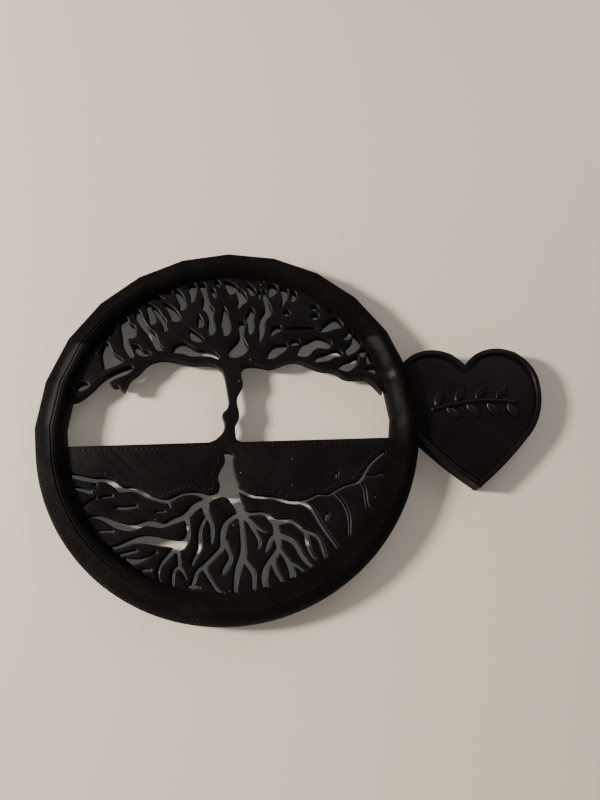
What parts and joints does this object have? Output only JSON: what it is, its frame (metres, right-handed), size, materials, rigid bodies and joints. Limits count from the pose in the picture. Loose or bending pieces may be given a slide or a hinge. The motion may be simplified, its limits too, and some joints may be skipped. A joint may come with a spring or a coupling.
{
  "type": "tree of life ornament",
  "caption": "Flat tree of life with open branches above a soil panel with roots cut through it, held in a round-section hoop, with a rimmed heart bearing a leafy sprig at one side.",
  "frame": {"origin": "centre of the hoop, on the plane that the ornament lies on", "axes": "+X along the soil line towards the heart, +Y up the trunk towards the crown, +Z out of the face, away from the surface it lies on"},
  "size_m": [0.1263, 0.0946, 0.0072],
  "materials": {
    "hoop_plastic": "glossy black plastic laid down in fine layers",
    "tree_plastic": "glossy black plastic, flat top with fine parallel lines",
    "heart_plastic": "satin to glossy black plastic, flat face with fine parallel lines"
  },
  "bodies": {
    "root": {"hoop": "hoop_plastic", "trunk": "tree_plastic", "left_limb": "tree_plastic", "left_boughs": "tree_plastic", "upper_left_boughs": "tree_plastic", "top_left_boughs": "tree_plastic", "top_centre_boughs": "tree_plastic", "top_right_boughs": "tree_plastic", "upper_right_boughs": "tree_plastic", "right_boughs": "tree_plastic", "right_limb": "tree_plastic", "soil_left": "tree_plastic", "root_bed_far_left": "tree_plastic", "root_bed_left": "tree_plastic", "root_bed_lower_left": "tree_plastic", "root_bed_centre_left": "tree_plastic", "root_bed_centre": "tree_plastic", "root_bed_centre_right": "tree_plastic", "root_bed_lower_right": "tree_plastic", "root_bed_right": "tree_plastic", "soil_right": "tree_plastic", "heart_plate": "heart_plastic", "heart_rim": "heart_plastic", "sprig_stem": "heart_plastic", "sprig_leaves": "heart_plastic"}
  },
  "joints": []
}
